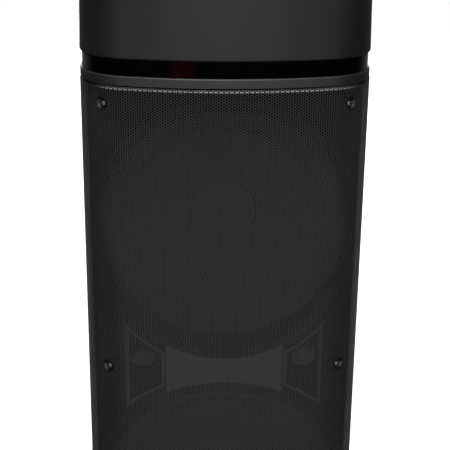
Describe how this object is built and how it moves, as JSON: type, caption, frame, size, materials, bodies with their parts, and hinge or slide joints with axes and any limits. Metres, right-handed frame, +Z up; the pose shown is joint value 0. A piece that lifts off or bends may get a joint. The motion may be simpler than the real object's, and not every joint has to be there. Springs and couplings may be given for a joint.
{
  "type": "party speaker",
  "caption": "Tall party speaker with a bowed perforated grille, gloss wrap-around display band, moulded cap with top controls, rear sockets and a wheeled base.",
  "frame": {"origin": "on the floor at the middle of the overall box", "axes": "+Z up, the grille faces -Y, +X to the right seen from the front"},
  "size_m": [0.332, 0.364, 0.9037],
  "materials": {
    "cabinet": "fine textured black",
    "baffle": "matte dark grey moulding",
    "moulding": "fine spark texture, dark grey",
    "ring": "fine spark texture, dark grey",
    "plinth": "fine spark texture, dark grey",
    "gloss_band": "polished black",
    "grille_steel": "semi-gloss black powder coat on perforated sheet",
    "screw_steel": "zinc plated",
    "basket": "black powder coat",
    "surround": "matte butyl rubber",
    "cone_paper": "pressed paper",
    "magnet": "ferrite and zinc plated plates",
    "diffuser": "milky diffuser",
    "jack_steel": "nickel plated",
    "foam": "closed-cell foam",
    "gloss_panel": "polished black",
    "board": "solder mask",
    "knob": "matte with a polished edge",
    "button_rubber": "silicone",
    "grip": "soft touch",
    "rear_plate": "fine texture",
    "cell_wrap": "heat-shrink wrap",
    "foot_rubber": "moulded rubber",
    "wheel_rubber": "polyurethane tread"
  },
  "bodies": {
    "cabinet": {"cabinet_shell": "cabinet", "front_baffle": "baffle", "top_cap": "moulding", "trim_ring": "ring", "base_plinth": "plinth", "display_band": "gloss_band", "grille": "grille_steel", "grille_screw_upper_left": "screw_steel", "grille_screw_upper_right": "screw_steel", "grille_screw_middle_left": "screw_steel", "grille_screw_middle_right": "screw_steel", "grille_screw_lower_left": "screw_steel", "grille_screw_lower_right": "screw_steel", "woofer_upper_basket": "basket", "woofer_upper_surround": "surround", "woofer_upper_magnet": "magnet", "light_ring_upper": "diffuser", "woofer_lower_basket": "basket", "woofer_lower_surround": "surround", "woofer_lower_magnet": "magnet", "light_ring_lower": "diffuser", "tweeter_left_horn": "baffle", "tweeter_left_driver": "magnet", "mic_jack_left": "jack_steel", "tweeter_right_horn": "baffle", "tweeter_right_driver": "magnet", "mic_jack_right": "jack_steel", "light_bar": "diffuser", "baffle_seal": "foam", "control_panel": "gloss_panel", "control_board": "board", "amplifier_board": "board", "carry_handle": "grip", "rear_panel": "rear_plate", "usb_socket": "jack_steel", "mains_inlet": "rear_plate", "bass_port": "plinth", "battery_pack": "cell_wrap", "foot_front_left": "foot_rubber", "foot_front_right": "foot_rubber", "foot_rear_left": "foot_rubber", "foot_rear_right": "foot_rubber", "axle": "screw_steel"},
    "volume_knob": {"volume_knob": "knob"},
    "mic_knob": {"mic_knob": "knob"},
    "echo_knob": {"echo_knob": "knob"},
    "button_power": {"button_power": "button_rubber"},
    "button_source": {"button_source": "button_rubber"},
    "button_play": {"button_play": "button_rubber"},
    "button_light": {"button_light": "button_rubber"},
    "button_bass": {"button_bass": "button_rubber"},
    "port_cover": {"port_cover": "button_rubber"},
    "power_rocker": {"power_rocker": "gloss_panel"},
    "wheel_left": {"wheel_left": "wheel_rubber"},
    "wheel_right": {"wheel_right": "wheel_rubber"},
    "upper_cone": {"woofer_upper_cone": "cone_paper", "woofer_upper_dust_cap": "cone_paper"},
    "lower_cone": {"woofer_lower_cone": "cone_paper", "woofer_lower_dust_cap": "cone_paper"}
  },
  "joints": [
    {"name": "volume_turn", "type": "hinge", "parent": "cabinet", "child": "volume_knob", "pos_m": [0, -0.108, 0.887], "axis": [0, 0, -1], "continuous": true},
    {"name": "mic_turn", "type": "hinge", "parent": "cabinet", "child": "mic_knob", "pos_m": [-0.092, -0.108, 0.887], "axis": [0, 0, -1], "range_deg": [-150, 150]},
    {"name": "echo_turn", "type": "hinge", "parent": "cabinet", "child": "echo_knob", "pos_m": [0.092, -0.108, 0.887], "axis": [0, 0, -1], "range_deg": [-150, 150]},
    {"name": "button_power_press", "type": "slide", "parent": "cabinet", "child": "button_power", "axis": [0, 0, -1], "range_m": [0, 0.0012], "stiffness_N_per_m": 600, "springref_m": -0.001},
    {"name": "button_source_press", "type": "slide", "parent": "cabinet", "child": "button_source", "axis": [0, 0, -1], "range_m": [0, 0.0012], "stiffness_N_per_m": 600, "springref_m": -0.001},
    {"name": "button_play_press", "type": "slide", "parent": "cabinet", "child": "button_play", "axis": [0, 0, -1], "range_m": [0, 0.0012], "stiffness_N_per_m": 600, "springref_m": -0.001},
    {"name": "button_light_press", "type": "slide", "parent": "cabinet", "child": "button_light", "axis": [0, 0, -1], "range_m": [0, 0.0012], "stiffness_N_per_m": 600, "springref_m": -0.001},
    {"name": "button_bass_press", "type": "slide", "parent": "cabinet", "child": "button_bass", "axis": [0, 0, -1], "range_m": [0, 0.0012], "stiffness_N_per_m": 600, "springref_m": -0.001},
    {"name": "port_cover_hinge", "type": "hinge", "parent": "cabinet", "child": "port_cover", "pos_m": [0, 0.166, 0.5876], "axis": [-1, 0, 0], "range_deg": [0, 95]},
    {"name": "power_rocker_tip", "type": "hinge", "parent": "cabinet", "child": "power_rocker", "pos_m": [0.034, 0.168, 0.5], "axis": [-1, 0, 0], "range_deg": [0, 16]},
    {"name": "wheel_left_roll", "type": "hinge", "parent": "cabinet", "child": "wheel_left", "pos_m": [-0.134, 0.155, 0.03], "axis": [1, 0, 0], "continuous": true},
    {"name": "wheel_right_roll", "type": "hinge", "parent": "cabinet", "child": "wheel_right", "pos_m": [0.134, 0.155, 0.03], "axis": [1, 0, 0], "continuous": true},
    {"name": "upper_cone_travel", "type": "slide", "parent": "cabinet", "child": "upper_cone", "axis": [0, -1, 0], "range_m": [-0.004, 0.004], "stiffness_N_per_m": 2500},
    {"name": "lower_cone_travel", "type": "slide", "parent": "cabinet", "child": "lower_cone", "axis": [0, -1, 0], "range_m": [-0.004, 0.004], "stiffness_N_per_m": 2500}
  ]
}
